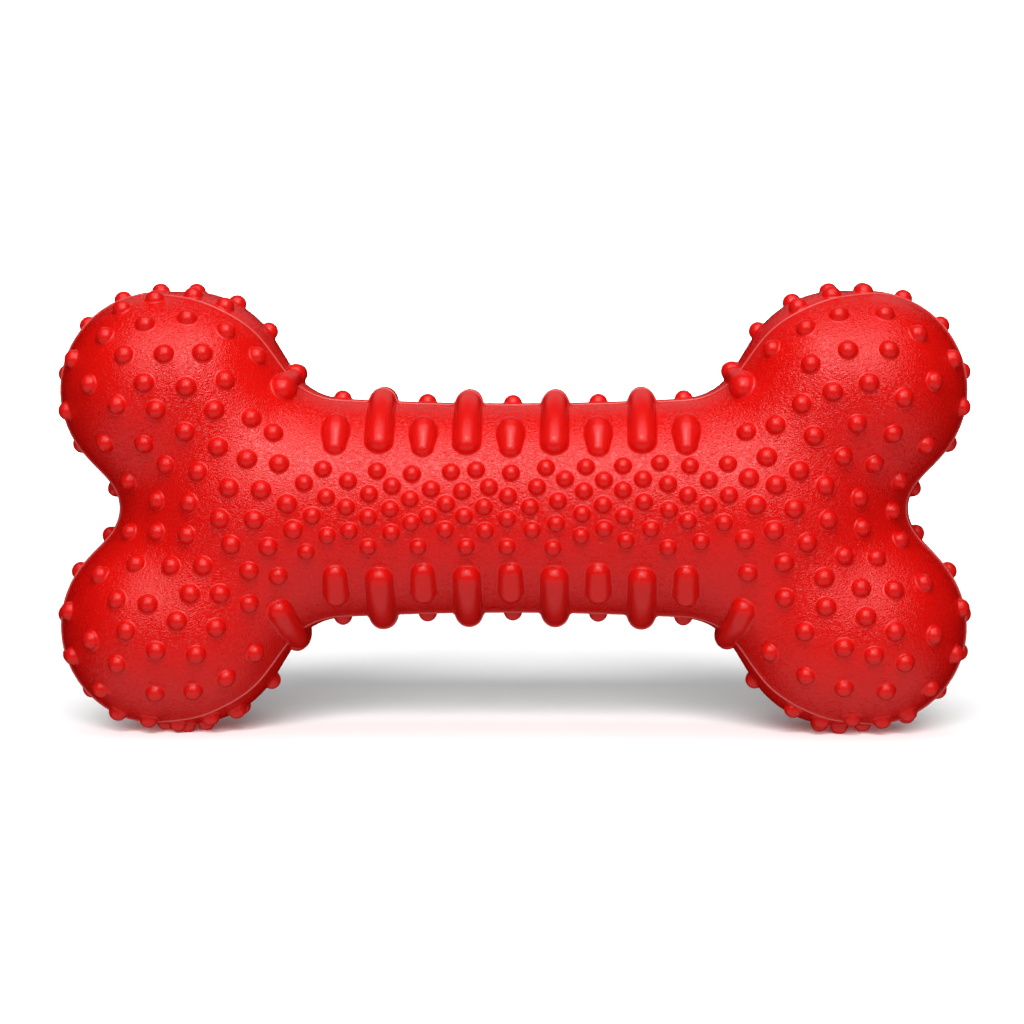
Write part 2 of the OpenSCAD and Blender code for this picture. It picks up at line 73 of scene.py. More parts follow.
LOWER_RIGHT_NUB_PIXELS = (
    (794, 509), (892, 511), (828, 520), (774, 531), (862, 528), (745, 540), (807, 543), (900, 540),
    (784, 563), (844, 556), (876, 558), (748, 573), (824, 578), (924, 583), (785, 598), (861, 588),
    (894, 590), (826, 607), (961, 608), (866, 617), (805, 632), (895, 632), (934, 635), (770, 652),
    (844, 648), (874, 656), (955, 654), (905, 663), (806, 676), (844, 688), (886, 691), (930, 688),
    (793, 709), (822, 718), (852, 719), (908, 713), (882, 720),
)
BAND_NUB_PIXELS = (
    (304, 483), (306, 552), (312, 516), (323, 469), (326, 497), (327, 536), (346, 507), (348, 481),
    (349, 531), (368, 517), (368, 547), (369, 494), (377, 471), (390, 509), (391, 533), (392, 486),
    (410, 499), (411, 523), (412, 474), (418, 547), (428, 516), (431, 489), (445, 530), (446, 504),
    (451, 472), (462, 491), (464, 516), (466, 547), (476, 470), (484, 507), (485, 531), (489, 487),
    (507, 519), (507, 547), (508, 496), (511, 473), (530, 507), (532, 530), (537, 487), (546, 468),
    (553, 548), (556, 524), (558, 501), (565, 479), (581, 536), (582, 514), (584, 491), (586, 467),
    (603, 505), (604, 480), (604, 529), (623, 466), (623, 490), (624, 516), (626, 541), (643, 479),
    (644, 502), (651, 529), (660, 463), (668, 484), (668, 548), (669, 510), (688, 495), (688, 521),
    (690, 466), (701, 542), (708, 505), (709, 480), (724, 523), (728, 464), (729, 495),
)
RIM_NUB_PIXELS = (
    (88, 325), (123, 299), (161, 289), (197, 291), (238, 303), (271, 330), (111, 491), (110, 534),
    (81, 571), (755, 329), (791, 301), (828, 288), (862, 285), (904, 296), (942, 324), (916, 490),
    (917, 532), (949, 570), (207, 726), (908, 718), (819, 727),
)
END_NUB_PIXELS = (
    (63, 373), (76, 448), (61, 613), (64, 657), (88, 692), (272, 680), (965, 371),
    (951, 445), (968, 613), (964, 653), (939, 691), (755, 679),
)
NECK_PILL_PIXELS = (
    ((282, 389), (292, 378)), ((744, 387), (736, 375)),
    ((279, 610), (288, 625), (295, 637)), ((744, 609), (738, 622), (733, 633)),
)


class Side(Enum):
    """Which half of the bone a piece belongs to."""

    FRONT = -1
    BACK = 1


def length_of(vectors: np.ndarray) -> np.ndarray:
    """Length of each vector in the last axis."""
    return np.sqrt(np.sum(vectors * vectors, axis=-1))


def unit(vectors: np.ndarray) -> np.ndarray:
    """Each vector in the last axis, made one long."""
    return vectors / length_of(vectors)[..., None]


def soft_min(a: np.ndarray, b: np.ndarray, blend: float) -> np.ndarray:
    """Takes the smaller of two distances, rounded off where they are alike.

    Args:
        a: distances from one surface.
        b: distances from the other.
        blend: how far apart they may be and still be rounded.

    Returns:
        The rounded minimum.
    """
    near = np.maximum(blend - np.abs(a - b), 0.0)
    return np.minimum(a, b) - near * near / (4.0 * blend)


@dataclass(frozen=True)
class BoneForm:
    """The smooth body under the nubs. Lengths are in millimetres from the middle of the bone."""

    length: float = 160.0
    knuckle_out: float = 61.8
    knuckle_stretch: float = 5.1
    knuckle_up: float = 20.6
    knuckle_radius: float = 17.4
    knuckle_depth: float = 19.0
    knuckle_blend: float = 15.8
    shaft_half: float = 42.8
    shaft_radius: float = 18.4
    shaft_swell: float = 0.8
    swell_at: float = 30.0
    neck_blend: float = 10.4
    wall: float = 4.5
    seam_front: float = 4.0
    seam_bow: float = 5.3
    seam_bow_at: float = 50.0
    seam_bow_width: float = 11.0
    seam_half: float = 0.25
    seam_room: float = 0.15
    feel: float = 0.02

    def knuckle_gap(self, p: np.ndarray, level: float) -> np.ndarray:
        """Distance of points from the two upper or the two lower knuckles.

        Args:
            p: the points.
            level: 1 for the upper knuckles, -1 for the lower ones.

        Returns:
            Distances, negative inside.
        """
        across = np.abs(p[..., 0])
        along = np.clip(across, self.knuckle_out - self.knuckle_stretch, self.knuckle_out)
        squash = self.knuckle_radius / self.knuckle_depth
        height = p[..., 2] - level * self.knuckle_up
        off = np.stack([across - along, p[..., 1] * squash, height], -1)
        return length_of(off) - self.knuckle_radius

    def shaft_size(self, x: np.ndarray) -> np.ndarray:
        """Radius of the shaft at x."""
        return self.shaft_radius + self.shaft_swell * (x / self.swell_at) ** 2

    def gap(self, p: np.ndarray) -> np.ndarray:
        """Distance of points from the bone's skin.

        Args:
            p: the points.

        Returns:
            Distances, negative inside.
        """
        across = np.abs(p[..., 0])
        along = np.minimum(across, self.shaft_half)
        off = np.stack([across - along, p[..., 1], p[..., 2]], -1)
        shaft = length_of(off) - self.shaft_size(along)
        ends = soft_min(self.knuckle_gap(p, 1.0), self.knuckle_gap(p, -1.0), self.knuckle_blend)
        return soft_min(ends, shaft, self.neck_blend)

    def normal(self, p: np.ndarray) -> np.ndarray:
        """Unit vectors out of the skin at points."""
        steps = self.feel * np.eye(3)
        return unit(np.stack([self.gap(p + step) - self.gap(p - step) for step in steps], -1))

    def settle(self, p: np.ndarray, steps: int = 3) -> np.ndarray:
        """Moves points onto the skin.

        Args:
            p: points near the skin.
            steps: how many times each is moved.

        Returns:
            The points on the skin.
        """
        for _ in range(steps):
            p = p - self.gap(p)[..., None] * self.normal(p)
        return p

    def settle_flat(self, p: np.ndarray, steps: int = 5) -> np.ndarray:
        """Moves points onto the skin, along the bone and up or down only.

        Args:
            p: points near the skin.
            steps: how many times each is moved.

        Returns:
            The points on the skin, still as far from front to back.
        """
        for _ in range(steps):
            flat = self.normal(p) * np.array([1.0, 0.0, 1.0])
            p = p - self.gap(p)[..., None] * flat / np.sum(flat * flat, -1)[..., None]
        return p

    def seam_y(self, x: np.ndarray) -> np.ndarray:
        """Place of the seam from front to back at x."""
        bow = np.exp(-(((np.abs(x) - self.seam_bow_at) / self.seam_bow_width) ** 2))
        return -self.seam_front - self.seam_bow * bow

    def clear(self, p: np.ndarray, radius: float) -> np.ndarray:
        """Moves nubs clear of the seam, each to the side that it is on.

        Args:
            p: places of the nubs on the skin.
            radius: radius of a nub.

        Returns:
            The places, moved where the seam was too close.
        """
        seam = self.seam_y(p[:, 0])
        side = np.where(p[:, 1] < seam, -1.0, 1.0)
        y = seam + side * (self.seam_half + radius + self.seam_room)
        moved = p.copy()
        moved[:, 1] = y
        moved = self.settle_flat(moved, 3)
        return np.where((side * (p[:, 1] - y) > 0)[:, None], p, moved)


@dataclass(frozen=True)
class FrontView:
    """The eye that the photograph's places are read with."""

    distance: float = 560.0
    turn: float = 1.5
    rise: float = 1.5
    bone_pixels: float = 912.0
    picture_pixels: float = 1024.0
    middle_pixel: tuple[float, float] = (512.8, 507.9)
    film: float = 36.0
    sight_steps: int = 50

    def eye(self) -> np.ndarray:
        """Works out where the eye is.

        Returns:
            Its place from the middle of the bone.
        """
        t, e = math.radians(self.turn), math.radians(self.rise)
        way = [math.sin(t) * math.cos(e), -math.cos(t) * math.cos(e), math.sin(e)]
        return self.distance * np.array(way)

    def axes(self) -> tuple[np.ndarray, np.ndarray, np.ndarray]:
        """Works out how the eye is turned.

        Returns:
            Unit vectors ahead, across and up.
        """
        t = math.radians(self.turn)
        ahead = -self.eye() / self.distance
        across = np.array([math.cos(t), math.sin(t), 0.0])
        return ahead, across, np.cross(across, ahead)

    def sight(self, form: BoneForm, pixels: Any) -> np.ndarray:
        """Works out the sight lines through pixels.

        Args:
            form: the bone, whose length sets the scale.
            pixels: places in the front view.

        Returns:
            A unit vector for each pixel.
        """
        spots = np.asarray(pixels, float).reshape(-1, 2)
        ahead, across, up = self.axes()
        depth = self.distance * self.bone_pixels / form.length
        return unit(
            ahead * depth
            + across * (spots[:, :1] - self.middle_pixel[0])
            + up * (self.middle_pixel[1] - spots[:, 1:])
        )

    def front_places(self, form: BoneForm, pixels: Any) -> np.ndarray:
        """Finds the places on the front of the skin that show at pixels.

        Args:
            form: the bone.
            pixels: places in the front view, inside the outline.

        Returns:
            Points on the skin.
        """
        way = self.sight(form, pixels)
        p = self.eye() + way * (self.distance - 2 * form.knuckle_depth)
        for _ in range(self.sight_steps):
            p = p + way * form.gap(p)[..., None]
        return form.settle(p, 2)

    def rim_places(self, form: BoneForm, pixels: Any, y: float) -> np.ndarray:
        """Finds the places on the outline near pixels.

        Args:
            form: the bone.
            pixels: places in the front view, on or just past the outline.
            y: how far behind the middle their row stands.

        Returns:
            Points on the skin.
        """
        way = self.sight(form, pixels)
        eye = self.eye()
        return form.settle(eye + way * ((y - eye[1]) / way[:, 1])[:, None], 5)

    def lens(self, form: BoneForm) -> float:
        """Focal length for a film as wide as the picture."""
        return self.distance * self.bone_pixels / form.length / self.picture_pixels * self.film


class Wire:
    """A number in a material's graph. Python's operators on it add Math nodes."""

    def __init__(self, graph: "Graph", socket: bpy.types.NodeSocket) -> None:
        """Wraps a socket of a graph."""
        self.graph = graph
        self.socket = socket

    def math(self, operation: str, *values: Any) -> "Wire":
        """Adds a Math node.

        Args:
            operation: the node's operation.
            values: its numbers or wires, in order.

        Returns:
            The node's result.
        """
        node = self.graph.node("ShaderNodeMath", {"operation": operation}, dict(enumerate(values)))
        return Wire(self.graph, node.outputs[0])

    def __add__(self, other: Any) -> "Wire":
        """This plus the other."""
        return self.math("ADD", self, other)

    def __radd__(self, other: Any) -> "Wire":
        """The other plus this."""
        return self.math("ADD", other, self)

    def __sub__(self, other: Any) -> "Wire":
        """This minus the other."""
        return self.math("SUBTRACT", self, other)

    def __rsub__(self, other: Any) -> "Wire":
        """The other minus this."""
        return self.math("SUBTRACT", other, self)

    def __mul__(self, other: Any) -> "Wire":
        """This times the other."""
        return self.math("MULTIPLY", self, other)

    def __rmul__(self, other: Any) -> "Wire":
        """The other times this."""
        return self.math("MULTIPLY", other, self)

    def __truediv__(self, other: Any) -> "Wire":
        """This over the other."""
        return self.math("DIVIDE", self, other)

    def clamped(self) -> "Wire":
        """This, kept between 0 and 1."""
        return self.math("MAXIMUM", self.math("MINIMUM", self, 1.0), 0.0)


class Graph:
    """The node graph of one material, with its Principled shader."""

    def __init__(self, name: str) -> None:
        """Makes a material with nothing in it but a Principled shader.

        Args:
            name: the material's name.
        """
        self.material = bpy.data.materials.new(name)
        self.material.use_nodes = True
        self.tree = self.material.node_tree
        self.tree.nodes.clear()
        self.shader = self.node("ShaderNodeBsdfPrincipled", {}, {})
        self.node("ShaderNodeOutputMaterial", {}, {"Surface": self.shader.outputs[0]})

    def node(
        self, kind: str, settings: dict[str, Any], sockets: dict[Any, Any]
    ) -> bpy.types.Node:
        """Adds any node.

        Args:
            kind: the node's type.
            settings: its settings, which are set first.
            sockets: values, wires or sockets for its inputs.

        Returns:
            The node.
        """
        node = self.tree.nodes.new(kind)
        for key, value in settings.items():
            setattr(node, key, value)
        for key, value in sockets.items():
            self.feed(node.inputs[key], value)
        return node

    def feed(self, socket: bpy.types.NodeSocket, value: Any) -> None:
        """Links a wire or socket to an input, or sets its value.

        Args:
            socket: the input.
            value: the wire, socket or plain value.
        """
        if isinstance(value, Wire):
            self.tree.links.new(value.socket, socket)
        elif isinstance(value, bpy.types.NodeSocket):
            self.tree.links.new(value, socket)
        else:
            socket.default_value = value

    def places(self) -> bpy.types.NodeSocket:
        """Adds the surface's place, which moves with the piece.

        Returns:
            The place in millimetres.
        """
        spot = self.node("ShaderNodeTexCoord", {}, {})
        return self.vector("SCALE", {0: spot.outputs["Object"], "Scale": 1 / MM})

    def vector(self, operation: str, sockets: dict[Any, Any]) -> bpy.types.NodeSocket:
        """Adds a Vector Math node and gives its result."""
        return self.node("ShaderNodeVectorMath", {"operation": operation}, sockets).outputs[0]

    def noise(
        self, scale: float, detail: float, roughness: float = 0.5, distortion: float = 0.0
    ) -> Wire:
        """Adds noise over the surface.

        Args:
            scale: how many features it has to the millimetre.
            detail: how many finer layers lie over them.
            roughness: how strong the finer layers are.
            distortion: how much the features are twisted.

        Returns:
            The noise, round a half.
        """
        sockets = {
            "Vector": self.places(), "Scale": scale, "Detail": detail,
            "Roughness": roughness, "Distortion": distortion,
        }
        return Wire(self, self.node("ShaderNodeTexNoise", {}, sockets).outputs["Fac"])

    def blend(self, share: Any, low: Any, high: Any) -> bpy.types.NodeSocket:
        """Mixes two colours by a share."""
        node = self.node(
            "ShaderNodeMix", {"data_type": "RGBA"}, {"Factor": share, 6: low, 7: high}
        )
        return node.outputs[2]

    def bump(self, height: Wire, depth: float) -> bpy.types.NodeSocket:
        """Turns a height, in shares of a depth in millimetres, into a normal."""
        node = self.node(
            "ShaderNodeBump", {}, {"Strength": 1.0, "Distance": depth * MM, "Height": height}
        )
        return node.outputs[0]

    def finish(self, **inputs: Any) -> bpy.types.Material:
        """Sets the shader's inputs.

        Args:
            inputs: wires, sockets or values, each under its input's name with underscores for
                the spaces.

        Returns:
            The finished material.
        """
        for key, value in inputs.items():
            self.feed(self.shader.inputs[key.replace("_", " ")], value)
        return self.material


Colour = tuple[float, float, float, float]


@dataclass(frozen=True)
class RubberFinish:
    """Semi-gloss red rubber with a fine leathery grain."""

    name: str
    deep: Colour = (0.79, 0.003, 0.002, 1.0)
    bright: Colour = (0.89, 0.006, 0.003, 1.0)
    roughness: float = 0.15
    roughness_swing: float = 0.08
    grain_per_mm: float = 2.0
    grain_depth: float = 0.075
    grain_stretch: tuple[float, float, float] = (0.55, 1.0, 1.15)
    fold_gain: float = 2.2
    warp_per_grain: float = 0.6
    warp_reach: float = 1.1
    fine_per_mm: float = 4.5
    fine_share: float = 0.30
    fine_roughness: float = 0.6
    fine_twist: float = 0.4
    patch_per_mm: float = 0.045
    patch_roughness: float = 0.06
    wear_gain: float = 2.6
    wear_start: float = 0.75
    wear_share: float = 0.45
    ior: float = 1.5

    def grain(self, g: Graph) -> Wire:
        """Adds the leathery folds: drawn-out cells whose edges are pushed about by a slower noise.

        Args:
            g: the finish's graph.

        Returns:
            Height of the folds, from 0 in a crease to 1 on top.
        """
        slow = {"Vector": g.places(), "Scale": self.grain_per_mm * self.warp_per_grain}
        warp = g.node("ShaderNodeTexNoise", {}, {**slow, "Detail": 2.0}).outputs["Color"]
        shifted = g.vector("MULTIPLY_ADD", {0: warp, 1: (self.warp_reach,) * 3, 2: g.places()})
        drawn = g.vector("MULTIPLY", {0: shifted, 1: self.grain_stretch})
        cells = g.node(
            "ShaderNodeTexVoronoi",
            {"feature": "DISTANCE_TO_EDGE"},
            {"Vector": drawn, "Scale": self.grain_per_mm},
        )
        return (Wire(g, cells.outputs["Distance"]) * self.fold_gain).clamped()

    def material(self) -> bpy.types.Material:
        """Builds the finish.

        Returns:
            The material.
        """
        g = Graph(self.name)
        patches = g.noise(self.patch_per_mm, 3.0)
        fine = g.noise(self.fine_per_mm, 3.0, self.fine_roughness, self.fine_twist)
        worn = (patches * self.wear_gain - self.wear_start).clamped()
        height = self.grain(g) * (1.0 - self.wear_share * worn) + self.fine_share * fine
        swing = self.roughness_swing * (fine - 0.5)
        return g.finish(
            Base_Color=g.blend(patches, self.deep, self.bright),
            Roughness=self.roughness + swing + self.patch_roughness * patches,
            Normal=g.bump(height, self.grain_depth),
            IOR=self.ior,
        )


@dataclass(frozen=True)
class PlasticFinish:
    """Plain moulded plastic of the squeaker."""

    name: str
    light: Colour = (0.84, 0.83, 0.79, 1.0)
    dull: Colour = (0.74, 0.73, 0.69, 1.0)
    roughness: float = 0.42
    roughness_swing: float = 0.12
    cloud_per_mm: float = 0.25
    sheen_per_mm: float = 3.0
    sheen_depth: float = 0.02

    def material(self) -> bpy.types.Material:
        """Builds the finish.

        Returns:
            The material.
        """
        g = Graph(self.name)
        clouds = g.noise(self.cloud_per_mm, 3.0)
        sheen = g.noise(self.sheen_per_mm, 4.0)
        return g.finish(
            Base_Color=g.blend(clouds, self.dull, self.light),
            Roughness=self.roughness + self.roughness_swing * (sheen - 0.5),
            Normal=g.bump(sheen, self.sheen_depth),
        )


@dataclass(frozen=True)
class StripFinish:
    """Thin rolled metal strip of the reed."""

    name: str
    colour: Colour = (0.70, 0.70, 0.72, 1.0)
    dark_share: float = 0.8
    roughness: float = 0.28
    roughness_swing: float = 0.15
    lines_per_mm: float = 6.0

    def material(self) -> bpy.types.Material:
        """Builds the finish.

        Returns:
            The material.
        """
        g = Graph(self.name)
        lines = g.noise(self.lines_per_mm, 2.0)
        darker = tuple(self.dark_share * c for c in self.colour[:3]) + (1.0,)
        return g.finish(
            Base_Color=g.blend(lines, darker, self.colour),
            Metallic=1.0,
            Roughness=self.roughness + self.roughness_swing * (lines - 0.5),
        )


@dataclass(frozen=True)
class FloorFinish:
    """Plain pale studio floor."""

    name: str = "studio_floor"
    colour: Colour = (0.80, 0.80, 0.80, 1.0)
    near_glow: Colour = (0.0, 0.0, 0.0, 1.0)
    far_glow: Colour = (1.00, 1.00, 1.00, 1.0)
    glow_from: float = 60.0
    glow_span: float = 900.0
    roughness: float = 0.7
    specular: float = 0.1

    def material(self) -> bpy.types.Material:
        """Builds the finish, which glows more the further it is behind the bone.

        Returns:
            The material.
        """
        g = Graph(self.name)
        depth = Wire(g, g.node("ShaderNodeSeparateXYZ", {}, {0: g.places()}).outputs[1])
        share = ((depth - self.glow_from) / self.glow_span).clamped()
        return g.finish(
            Base_Color=self.colour,
            Roughness=self.roughness,
            Specular_IOR_Level=self.specular,
            Emission_Color=g.blend(share, self.near_glow, self.far_glow),
            Emission_Strength=1.0,
        )


@dataclass
class Moulding:
    """What every piece of the bone shares: its form, the view, its height and how it is made."""

    form: BoneForm = field(default_factory=BoneForm)
    view: FrontView = field(default_factory=FrontView)
    rest_height: float = 0.0
    weld: float = 0.001

    def piece(
        self,
        name: str,
        points: np.ndarray,
        faces: list,
        material: bpy.types.Material,
        slot: str,
        sharp: float = 50.0,
    ) -> bpy.types.Object:
        """Makes one closed piece that rides on the toy.

        Args:
            name: the piece's name.
            points: its points in millimetres from the middle of the bone.
            faces: its faces as lists of point numbers.
            material: its finish.
            slot: the record's material slot; not used.
            sharp: angle in degrees from which an edge is sharp.

        Returns:
            The new object.
        """
        mesh = bpy.data.meshes.new(name)
        lifted = (points + np.array([0.0, 0.0, self.rest_height])) * MM
        mesh.from_pydata(lifted.tolist(), [], faces)
        made = bmesh.new()
        made.from_mesh(mesh)
        bmesh.ops.remove_doubles(made, verts=made.verts, dist=self.weld * MM)
        bmesh.ops.recalc_face_normals(made, faces=made.faces)
        made.to_mesh(mesh)
        made.free()
        mesh.shade_smooth()
        mesh.set_sharp_from_angle(angle=math.radians(sharp))
        mesh.materials.append(material)
        piece = bpy.data.objects.new(name, mesh)
        bpy.context.scene.collection.objects.link(piece)
        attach(piece, "toy")
        log.info("%s: %d points, %d faces", name, len(mesh.vertices), len(mesh.polygons))
        return piece


def grid_faces(index: np.ndarray, wrap: bool = False) -> list:
    """Faces between the neighbouring points of a grid.

    Args:
        index: the point number at each place of the grid; a number may repeat at a pole.
        wrap: whether the last column meets the first.

    Returns:
        Faces, with repeated points left out.
    """
    if wrap:
        index = np.concatenate([index, index[:, :1]], axis=1)
    corners = np.stack([index[:-1, :-1], index[1:, :-1], index[1:, 1:], index[:-1, 1:]], -1)
    faces = []
    for quad in corners.reshape(-1, 4).tolist():
        kept = [n for k, n in enumerate(quad) if n != quad[k - 1]]
        if len(kept) > 2:
            faces.append(kept)
    return faces


@dataclass
class Skin:
    """The two hollow half mouldings, without what stands on them."""

    moulding: Moulding
    shaft_rings: int = 70
    fan_rings: int = 70
    columns: int = 84
    fan_start: float = 35.15
    fan_travel: float = 16.75
    crowd_share: float = 0.4
    reach_steps: int = 60
    reach_ease: float = 0.9

    def rings(self) -> tuple[np.ndarray, np.ndarray, np.ndarray]:
        """Lays out the rings: upright along the shaft, and fanned out over the knuckles.

        Returns:
            Place, lean and fan share of each ring from the left tip to the right.
        """
        fan = np.arange(1, self.fan_rings + 1) / self.fan_rings
        out = self.fan_start + self.fan_travel * np.sin(np.pi / 2 * fan)
        lean = np.pi / 2 * np.cos(np.pi / 2 * fan)
        mid = self.fan_start * np.linspace(-1.0, 1.0, self.shaft_rings + 1)
        upright = np.full(len(mid), np.pi / 2)
        x = np.concatenate([-out[::-1], mid, out])
        leans = np.concatenate([lean[::-1], upright, lean])
        share = np.concatenate([fan[::-1], np.zeros(len(mid)), fan])
        return x, leans, share

    def surface(self, side: float, depth: float) -> np.ndarray:
        """Finds the points of a half's surface, ring by ring, by reaching out from its middle.

        Args:
            side: -1 for the front half, 1 for the back.
            depth: how far under the skin the surface lies.

        Returns:
            Points as an array of rings, columns and coordinates.
        """
        form = self.moulding.form
        x0, lean, share = (v[:, None] for v in self.rings())
        even = np.linspace(0.0, np.pi, self.columns + 1)[None, :]
        turn = even - self.crowd_share * share * np.sin(2 * even) / 2
        way = np.where(x0 < 0, -1.0, 1.0)
        fade = 1 - np.sin(lean) * np.sin(turn) ** 2
        reach = np.full(turn.shape, form.shaft_radius)
        for _ in range(self.reach_steps):
            x = x0 + way * reach * np.cos(lean)
            start = (form.seam_y(x) + side * form.seam_half) * fade
            y = start + side * reach * np.sin(lean) * np.sin(turn)
            p = np.stack([x + 0 * turn, y, reach * np.sin(lean) * np.cos(turn)], -1)
            reach = reach - self.reach_ease * (form.gap(p) + depth)
        return p

    def half(
        self, side: Side, name: str, node: str, material: bpy.types.Material
    ) -> bpy.types.Object:
        """Builds one half as a closed hollow moulding.

        Args:
            side: which half.
            name: the piece's name.
            node: the node that it stands for.
            material: its finish.

        Returns:
            The new object.
        """
        outer = self.surface(side.value, 0.0)
        inner = self.surface(side.value, self.moulding.form.wall)
        total, across = outer.shape[:2]
        index = np.arange(total * across).reshape(total, across)
        index[0, :] = index[0, 0]
        index[-1, :] = index[-1, 0]
        faces = grid_faces(index) + grid_faces(index + total * across)
        for column in (0, across - 1):
            faces += grid_faces(np.stack([index[:, column], index[:, column] + total * across], 1))
        points = np.concatenate([outer.reshape(-1, 3), inner.reshape(-1, 3)])
        piece = self.moulding.piece(name, points, faces, material, "rubber")
        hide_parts(node)
        return piece


@dataclass
class Bumps:
    """What stands on the skin: nubs, ribs and pills, each with a soft fillet at its foot."""

    moulding: Moulding
    nub_radius: float = 1.65
    band_nub_radius: float = 1.45
    nub_sink: float = 0.15
    nub_fillet: float = 0.32
    rib_radius: float = 2.3
    rib_proud: float = 2.45
    rib_fillet: float = 0.45
    rib_pitch: float = 7.5
    rib_pairs: int = 2
    rib_reach: float = 52.0
    rib_points: int = 49
    pill_start: float = 41.5
    pill_end: float = 55.0
    pill_dive: float = 0.4
    pill_belly: float = 2.35
    pill_belly_share: float = 0.4
    pill_tip: float = 1.85
    pill_low_tip: float = 2.0
    pill_points: int = 9
    neck_radius: float = 2.15
    neck_bulb: float = 2.3
    neck_pinch: float = 0.55
    neck_pinch_share: float = 0.55
    neck_pinch_half_share: float = 0.4
    neck_tip: float = 1.85
    neck_points: int = 17
    foot_along: float = 2.2
    foot_aside: float = 2.4
    port_radius: float = 12.2
    around: int = 24
    dome_rings: int = 8
    fillet_rings: int = 4
    skirt_share: float = 0.5
    skirt_dip_share: float = 0.12
    root_dip_share: float = 1.5
    steep: float = 0.8

    def feet(self) -> np.ndarray:
        """Finds the places of the four nubs that the bone stands on.

        Returns:
            Points on the skin.
        """
        form = self.moulding.form
        middle = form.knuckle_out - form.knuckle_stretch / 2
        down = -form.knuckle_up - form.knuckle_radius
        spots = [
            (end * (middle + step * self.foot_along), step * self.foot_aside, down)
            for end in (-1, 1)
            for step in (-1, 1)
        ]
        return form.settle_flat(np.array(spots))

    def rest_height(self) -> float:
        """Works out how high the bone stands on its feet.

        Returns:
            Height of its middle over the floor.
        """
        form = self.moulding.form
        feet = form.clear(self.feet(), self.nub_radius)
        low = feet[:, 2] - self.nub_sink * form.normal(feet)[:, 2]
        return self.nub_radius - float(low.min())

    def big_places(self) -> np.ndarray:
        """Finds the places of the knuckles' nubs and of those between the ribs, front and back.

        Returns:
            Points on the skin.
        """
        form, view = self.moulding.form, self.moulding.view
        front = view.front_places(
            form,
            UPPER_LEFT_NUB_PIXELS
            + LOWER_LEFT_NUB_PIXELS
            + UPPER_RIGHT_NUB_PIXELS
            + LOWER_RIGHT_NUB_PIXELS,
        )
        stations = [
            (x, self.foot_aside / 2, level * form.shaft_radius)
            for x in self.pill_stations()
            for level in (-1, 1)
        ]
        return np.concatenate([
            front,
            front * np.array([1.0, -1.0, 1.0]),
            view.rim_places(form, RIM_NUB_PIXELS, self.foot_aside / 2),
            view.rim_places(form, END_NUB_PIXELS, self.foot_aside),
            self.feet(),
            form.settle_flat(np.array(stations), 3),
        ])

    def small_places(self) -> np.ndarray:
        """Finds the places of the band's nubs, front and back, clear of the squeaker's port.

        Returns:
            Points on the skin.
        """
        front = self.moulding.view.front_places(self.moulding.form, BAND_NUB_PIXELS)
        back = front * np.array([1.0, -1.0, 1.0])
        return np.concatenate([front, back[length_of(back[:, [0, 2]]) > self.port_radius]])

    def rib_stations(self) -> list[float]:
        """Places of the long ribs along the shaft."""
        return [(2 * k + 1) * self.rib_pitch for k in range(-self.rib_pairs, self.rib_pairs)]

    def pill_stations(self) -> list[float]:
        """Places of the short pills along the shaft."""
        return [2 * k * self.rib_pitch for k in range(-self.rib_pairs, self.rib_pairs + 1)]

    def profile(
        self, radius: Any, fillet: float, centre: np.ndarray
    ) -> tuple[np.ndarray, np.ndarray]:
        """Works out the rings of a bump, from the middle of its top to its root under the skin.

        Args:
            radius: radius of the bump's round top, one for all or one for each place along it.
            fillet: radius of the fillet at its foot.
            centre: height of the round top's centre over the skin, at each place along it.

        Returns:
            Distances from the spine and heights, with a row for each ring.
        """
        foot = np.sqrt((radius + fillet) ** 2 - (fillet - centre) ** 2)
        low = np.arctan2(fillet - centre, foot)
        share = np.linspace(0.0, 1.0, self.dome_rings + 1)[:, None]
        dome = np.pi / 2 + share * (low - np.pi / 2)
        turn = np.linspace(0.0, 1.0, self.fillet_rings + 1)[1:, None]
        bend = np.pi + low + turn * (np.pi / 2 - low)
        out = [
            radius * np.cos(dome),
            foot + fillet * np.cos(bend),
            foot[None] + self.skirt_share * fillet,
            0 * foot[None],
        ]
        up = [
            centre + radius * np.sin(dome),
            fillet + fillet * np.sin(bend),
            0 * foot[None] - self.skirt_dip_share * fillet,
            0 * foot[None] - self.root_dip_share * fillet,
        ]
        return np.concatenate(out), np.concatenate(up)

    def raised(
        self, spots: np.ndarray, ways: np.ndarray, out: np.ndarray, up: np.ndarray
    ) -> np.ndarray:
        """Lays rings of points over the skin.

        Args:
            spots: where each column of points starts, on the skin.
            ways: the direction in which it runs.
            out: distance from the start, ring by column.
            up: height over the skin, ring by column.

        Returns:
            Points, ring by column.
        """
        form = self.moulding.form
        base = form.settle(spots + ways * out[..., None], 2)
        return base + form.normal(base) * up[..., None]

